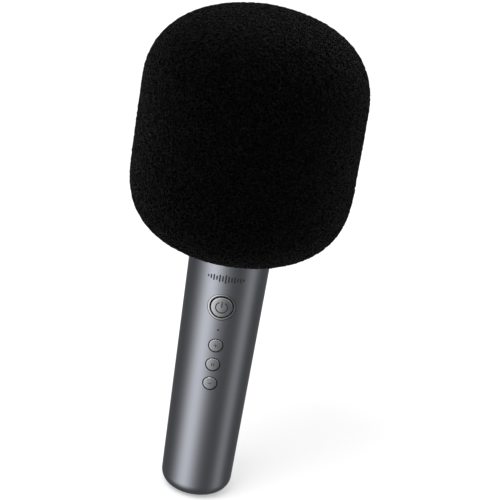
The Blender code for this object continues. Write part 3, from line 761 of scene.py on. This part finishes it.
def across_bar(middle, width, height, steps=10):
    """A strip that runs from left to right."""
    sides = [-width / 2 + width * i / steps for i in range(steps + 1)]
    return [((x + middle[0], middle[1] - height / 2), (x + middle[0], middle[1] + height / 2)) for x in sides]


def upright_bar(middle, width, height, steps=10):
    """A strip that runs from below upwards."""
    levels = [-height / 2 + height * i / steps for i in range(steps + 1)]
    return [((middle[0] - width / 2, z + middle[1]), (middle[0] + width / 2, z + middle[1])) for z in levels]


def arc(radius, width, start, end, steps=48):
    """A strip along a circle, from one angle to another in degrees."""
    outer, inner = radius + width / 2, radius - width / 2
    angles = [radians(start + (end - start) * i / steps) for i in range(steps + 1)]
    return [((outer * cos(a), outer * sin(a)), (inner * cos(a), inner * sin(a))) for a in angles]


def make_marks(m):
    """The marks on the caps and on the handle."""
    ink = m["ink"]
    stroke = 0.56
    cap_mark("power_mark", "power", [arc(2.66, stroke, 118, 422), upright_bar((0, 1.5), stroke, 2.9)], ink)
    arm, line = 2.0, 0.3
    stub = (arm - line) / 2 - 0.004
    stubs = [upright_bar((0, side * (line + arm) / 4), line, stub) for side in (1, -1)]
    cap_mark("plus_mark", "plus", [across_bar((0, 0), arm, line)] + stubs, ink)
    cap_mark("mode_mark", "mode", [upright_bar((x, 0), 0.42, 1.5) for x in (-0.45, 0.45)], ink)
    cap_mark("minus_mark", "minus", [across_bar((0, 0), arm, line)], ink)
    make_level_mark(ink)


def make_level_mark(ink):
    """A plain row of bars printed round the handle, like a sound level."""
    heights = (1.2, 2.0, 3.0, 2.2, 3.6, 2.8, 4.4, 3.2, 2.4, 3.4, 2.0, 2.6, 1.4)
    middle, pitch, width = 114.4, 1.36, 0.7
    shapes = []
    for i, tall in enumerate(heights):
        angle = (i - (len(heights) - 1) / 2) * pitch / handle_radius(middle)
        shapes.append(curved_bar(angle, middle, width, tall))
    add_piece("level_mark", merged(shapes), ink, "body")


def curved_bar(angle, middle, width, tall):
    """A round-ended bar that lies on the handle's curve, centred this far round from the front."""
    end = width / 2
    outline = []
    for side in (1, -1):
        for k in range(9):
            turn = pi * k / 8
            outline.append((side * end * cos(turn), side * ((tall - width) / 2 + end * sin(turn))))
    shape = bmesh.new()
    layers = []
    for lift in (-0.05, INK):
        layer = []
        for x, rise in outline:
            radius = handle_radius(middle + rise) + lift
            around = angle + x / radius
            layer.append(shape.verts.new((radius * sin(around), -radius * cos(around), middle + rise)))
        layers.append(layer)
    low, high = layers
    shape.faces.new(low[::-1])
    shape.faces.new(high)
    for i in range(len(outline)):
        n = (i + 1) % len(outline)
        shape.faces.new((low[i], low[n], high[n], high[i]))
    return shape


def make_light(m):
    """The light's lens: a short rod with a domed end."""
    height, radius = middle_of("led_light_pipe").z, high_of("led_light_pipe").x
    front, back = -low_of("led_light_pipe").y, -high_of("led_light_pipe").y
    crown = 0.12
    quarter = [pi / 2 * k / 8 for k in range(9)]
    dome = [(radius * cos(a), front - crown + crown * sin(a)) for a in quarter]
    shape = lathe([(0, back), (radius, back)] + dome, 48, FRONT, (0, 0, height))
    add_piece("light_lens", shape, m["lens"], "body", ["led_light_pipe"])


USB_WIDTH, USB_HEIGHT = 9.6, 3.8
JACK_Y, JACK_RADIUS = 3.6, 2.7


def make_end_plug(m):
    """The plug in the handle's end, with softened edges round its two openings."""
    rim, flange = FOOT_HOLE_RADIUS - GAP, high_of("end_cap").x
    lip, top = HANDLE_WALL + GAP, high_of("end_cap").z
    edge = [(rim - 0.35, 0.0), (rim - 0.12, 0.06), (rim, 0.3)]
    outline = [(0, 0.0)] + edge + [(rim, lip), (flange, lip), (flange, top), (0, top)]
    usb_y = middle_of("usb_c_shell").y
    cutters = []
    for grow, depth in ((0.0, 5.0), (0.35, 0.12), (0.18, 0.26)):
        slot = slot_points(USB_WIDTH + 2 * grow, USB_HEIGHT + 2 * grow)
        cutters.append(prism(slot, -1, depth, (0, usb_y, 0)))
        cutters.append(round_cutter(JACK_RADIUS + grow, (0, JACK_Y, -1), (0, JACK_Y, depth)))
    shape = cut(lathe(outline, 128), cutters)
    add_piece("end_plug", shape, m["black_plastic"], "body", ["end_cap"])


# ---------------------------------------------------------------- cage and neck

def side_slots(low, high):
    """Cutters for the round-ended upright slots in the cage's side, between these heights."""
    inner, outer = 20, 45
    points = [(y, x) for x, y in slot_points(high - low, CAGE_SLOT_WIDTH, 6)]
    upright = Matrix.Rotation(pi / 2, 4, "Z") @ Matrix.Rotation(pi / 2, 4, "X")
    move = Matrix.Translation((0, 0, (low + high) / 2))
    cutters = []
    for i in range(CAGE_SLOTS):
        spin = Matrix.Rotation((2 * i + 1) * pi / CAGE_SLOTS, 4, "Z")
        cutters.append(prism(points, inner, outer, turn=spin @ move @ upright))
    return cutters


def crown_slot(i):
    """A cutter for one of the six slots in the cage's top, which point at its middle."""
    length, width, middle = 12, 3.4, 11
    low, high = 205, 230
    spin = Matrix.Rotation(pi / 3 * i, 4, "Z")
    return prism([(x + middle, y) for x, y in slot_points(length, width, 6)], low, high, turn=spin)


def cage_dome(grow, side, steps=40):
    """Points of the cage's top or lower dome, this much larger all round."""
    height = (CAGE_TOP_DOME if side > 0 else CAGE_LOW_DOME) + grow
    return dome_points(CAGE_RADIUS + grow, CAGE_MIDDLE, CAGE_BAND, height, CAGE_POWER, side, steps)


def make_cage(m):
    """Two open baskets with ribs between their slots, which meet at a stepped lip."""
    split, lip = low_of("cage_upper").z - GAP, high_of("cage_lower").z
    inner, outer = CAGE_RADIUS - CAGE_WALL, CAGE_RADIUS
    tongue = inner + 1.0
    edge = [(outer, split + GAP + 0.3), (outer - 0.3, split + GAP), (tongue + GAP, split + GAP)]
    edge += [(tongue + GAP, lip + GAP), (inner, lip + GAP)]
    upper = lathe(cage_dome(0, 1) + edge + cage_dome(-CAGE_WALL, 1)[::-1], 160)
    cutters = side_slots(*CAGE_TOP_SLOTS) + [crown_slot(i) for i in range(6)]
    shape = cut(upper, [merged(cutters)])
    add_piece("cage_crown", shape, m["black_plastic"], "body", ["cage_upper"])

    floor, bore = low_of("cage_lower").z, 5.5
    bowl_out = [p for p in cage_dome(0, -1) if p[1] > floor + 1 and p[0] > CAGE_FLOOR_RADIUS + 0.5]
    bowl_in = [p for p in cage_dome(-CAGE_WALL, -1) if p[1] > floor + 4]
    base = [(CAGE_FLOOR_RADIUS, floor), (bore, floor), (bore, floor + CAGE_WALL)]
    base += [(CAGE_FLOOR_RADIUS + 0.4, floor + CAGE_WALL)]
    step = [(inner, lip), (tongue, lip), (tongue, split), (outer - 0.3, split), (outer, split - 0.3)]
    lower = lathe(step + bowl_out[::-1] + base + bowl_in, 160)
    cutters = side_slots(*CAGE_LOW_SLOTS)
    for x in (-CAGE_SCREW_X, CAGE_SCREW_X):
        cutters.append(round_cutter(SCREW_HOLE_RADIUS, (x, 0, floor - 2), (x, 0, floor + 4), 32))
    shape = cut(lower, [merged(cutters)])
    add_piece("cage_bowl", shape, m["black_plastic"], "body", ["cage_lower"])


def make_collar(m):
    """The neck between handle and cage: a spigot in the tube, a brim on its rim and a plate for the cage."""
    low, high = low_of("neck_collar").z, high_of("neck_collar").z
    brim_low = high_of("handle_shell").z + GAP
    brim_high, plate_low = 132.9, 133.2
    bore, spigot, brim, screws = 5.0, 16.6, 18.6, 9.6
    corners = [
        (bore, low, False), (spigot, low, True), (spigot, brim_low, False), (brim, brim_low, True),
        (brim, brim_high, False), (CAGE_FLOOR_RADIUS, plate_low, True), (CAGE_FLOOR_RADIUS, high, True),
        (bore, high, False),
    ]
    below, seat, above = 120, 127, 140
    cutters = []
    for angle in (90, 210, 330):
        x, y = screws * cos(radians(angle)), screws * sin(radians(angle))
        cutters.append(round_cutter(SCREW_HEAD_RADIUS, (x, y, seat), (x, y, above), 32))
        cutters.append(round_cutter(SCREW_HOLE_RADIUS, (x, y, below), (x, y, seat + 1), 32))
    shape = cut(lathe(rounded(corners, 0.3), 128), cutters)
    add_piece("neck_ring", shape, m["black_plastic"], "body", ["neck_collar"])


def finish_nodes(m):
    """Every CAD node takes the procedural material of its slot."""
    slots = {entry["node"]: entry["material_slot"] for entry in frame["record"]["subparts"]}
    for name, node in frame["nodes"].items():
        node.data.materials.clear()
        node.data.materials.append(m[slots[name]])


# ---------------------------------------------------------------- studio

CAMERA_ELEVATION = radians(23.5)
CAMERA_AZIMUTH = radians(0.77)
CAMERA_ROLL = radians(8.9)
CAMERA_DISTANCE = 1.013
CAMERA_LENS, SENSOR = 162.0, 36.0
AIM_HEIGHT, AIM_ASIDE = 0.1209, 0.0085

# Soft boxes on the studio's walls: degrees to the right of straight in front, brightness, and how
# narrow each is.
WALL_BOXES = ((-39, 1.78, 6.8), (77, 0.52, 22.0), (178, 0.16, 14.0))
WALL_DARK = 0.115
DOME = 1.22


def make_camera():
    """A long lens from above, tilted a little, with the microphone slightly off the middle."""
    data = bpy.data.cameras.new("camera")
    data.lens = CAMERA_LENS
    data.sensor_width = SENSOR
    data.clip_end = 100
    camera = bpy.data.objects.new("camera", data)
    bpy.context.scene.collection.objects.link(camera)
    aim = Vector((0, 0, AIM_HEIGHT))
    back = Vector((
        sin(CAMERA_AZIMUTH) * cos(CAMERA_ELEVATION),
        -cos(CAMERA_AZIMUTH) * cos(CAMERA_ELEVATION),
        sin(CAMERA_ELEVATION),
    ))
    camera.location = aim + back * CAMERA_DISTANCE
    level_right = Vector((cos(CAMERA_AZIMUTH), sin(CAMERA_AZIMUTH), 0))
    level_up = back.cross(level_right)
    right = level_right * cos(CAMERA_ROLL) + level_up * sin(CAMERA_ROLL)
    look = aim + right * AIM_ASIDE - camera.location
    back = -look.normalized()
    up = back.cross(right).normalized()
    right = up.cross(back)
    camera.rotation_euler = Matrix((right, up, back)).transposed().to_euler()
    bpy.context.scene.camera = camera


def make_floor():
    """A pale sheet, lit from below as well as from above, so that shadows on it stay light. Shiny surfaces
    don't mirror it: they show the studio's walls, as if it were glass."""
    half, steps = 4.0, 8
    shape = bmesh.new()
    bmesh.ops.create_grid(shape, x_segments=steps, y_segments=steps, size=half)
    mesh = bpy.data.meshes.new("floor")
    shape.to_mesh(mesh)
    shape.free()
    floor = bpy.data.objects.new("floor", mesh)
    floor.location = (0, 0, -0.0002)
    bpy.context.scene.collection.objects.link(floor)
    pale = bpy.data.materials.new("pale_floor")
    pale.use_nodes = True
    shader = pale.node_tree.nodes["Principled BSDF"]
    shader.inputs["Base Color"].default_value = (0.52, 0.52, 0.52, 1)
    shader.inputs["Roughness"].default_value = 1.0
    shader.inputs["Specular IOR Level"].default_value = 0.0
    shader.inputs["Emission Color"].default_value = (1, 1, 1, 1)
    shader.inputs["Emission Strength"].default_value = 0.33
    mesh.materials.append(pale)
    floor.visible_glossy = False


def make_world():
    """A pale dome all round. Glossy surfaces see dark walls with soft boxes in its lower half instead."""
    world = bpy.data.worlds.new("studio")
    world.use_nodes = True
    w = Wiring(world.node_tree, "Generated")
    split = w.new("ShaderNodeSeparateXYZ")
    w.links.new(w.place, split.inputs["Vector"])
    x, y, z = (split.outputs[axis] for axis in "XYZ")
    flat = w.math("SQRT", w.math("ADD", w.math("MULTIPLY", x, x), w.math("MULTIPLY", y, y)))
    boxes = 0.0
    for degrees, bright, narrow in WALL_BOXES:
        aside = w.math("MULTIPLY", x, sin(radians(degrees)))
        ahead = w.math("MULTIPLY", y, -cos(radians(degrees)))
        turn = w.math("DIVIDE", w.math("ADD", aside, ahead), w.math("MAXIMUM", flat, 0.001))
        lobe = w.math("EXPONENT", w.math("MULTIPLY", w.math("SUBTRACT", turn, 1.0), narrow))
        boxes = w.math("ADD", w.math("MULTIPLY", lobe, bright), boxes)
    fade = w.remap(z, -0.93, -0.36, 0.02, 1.0)
    walls = w.math("ADD", w.math("MULTIPLY", boxes, fade), WALL_DARK)
    below = w.remap(z, -0.06, 0.06, 1.0, 0.0)
    seen = w.math("MULTIPLY", below, w.new("ShaderNodeLightPath").outputs["Is Glossy Ray"])
    dome = w.math("MULTIPLY", w.math("SUBTRACT", 1.0, seen), DOME)
    background = w.nodes["Background"]
    background.inputs["Color"].default_value = (1, 1, 1, 1)
    w.links.new(w.math("ADD", w.math("MULTIPLY", walls, seen), dome), background.inputs["Strength"])
    world.cycles.sampling_method = "NONE"
    bpy.context.scene.world = world


def make_key_light():
    """A large soft box above and to the left of the camera."""
    data = bpy.data.lights.new("key", "AREA")
    data.shape = "DISK"
    data.size = 1.2
    data.energy = 21.5
    light = bpy.data.objects.new("key", data)
    bpy.context.scene.collection.objects.link(light)
    light.location = (-0.6, -0.75, 1.5)
    light.rotation_euler = (Vector((0, 0, 0.05)) - light.location).to_track_quat("-Z", "Y").to_euler()


def main():
    m = make_materials()
    finish_nodes(m)
    make_foam(m)
    make_handle(m)
    make_ring(m)
    make_caps(m)
    make_marks(m)
    make_light(m)
    make_end_plug(m)
    make_cage(m)
    make_collar(m)
    make_camera()
    make_floor()
    make_world()
    make_key_light()
    scene = bpy.context.scene
    scene.view_settings.view_transform = "Standard"
    scene.view_settings.look = "None"
    bpy.context.view_layer.update()


main()
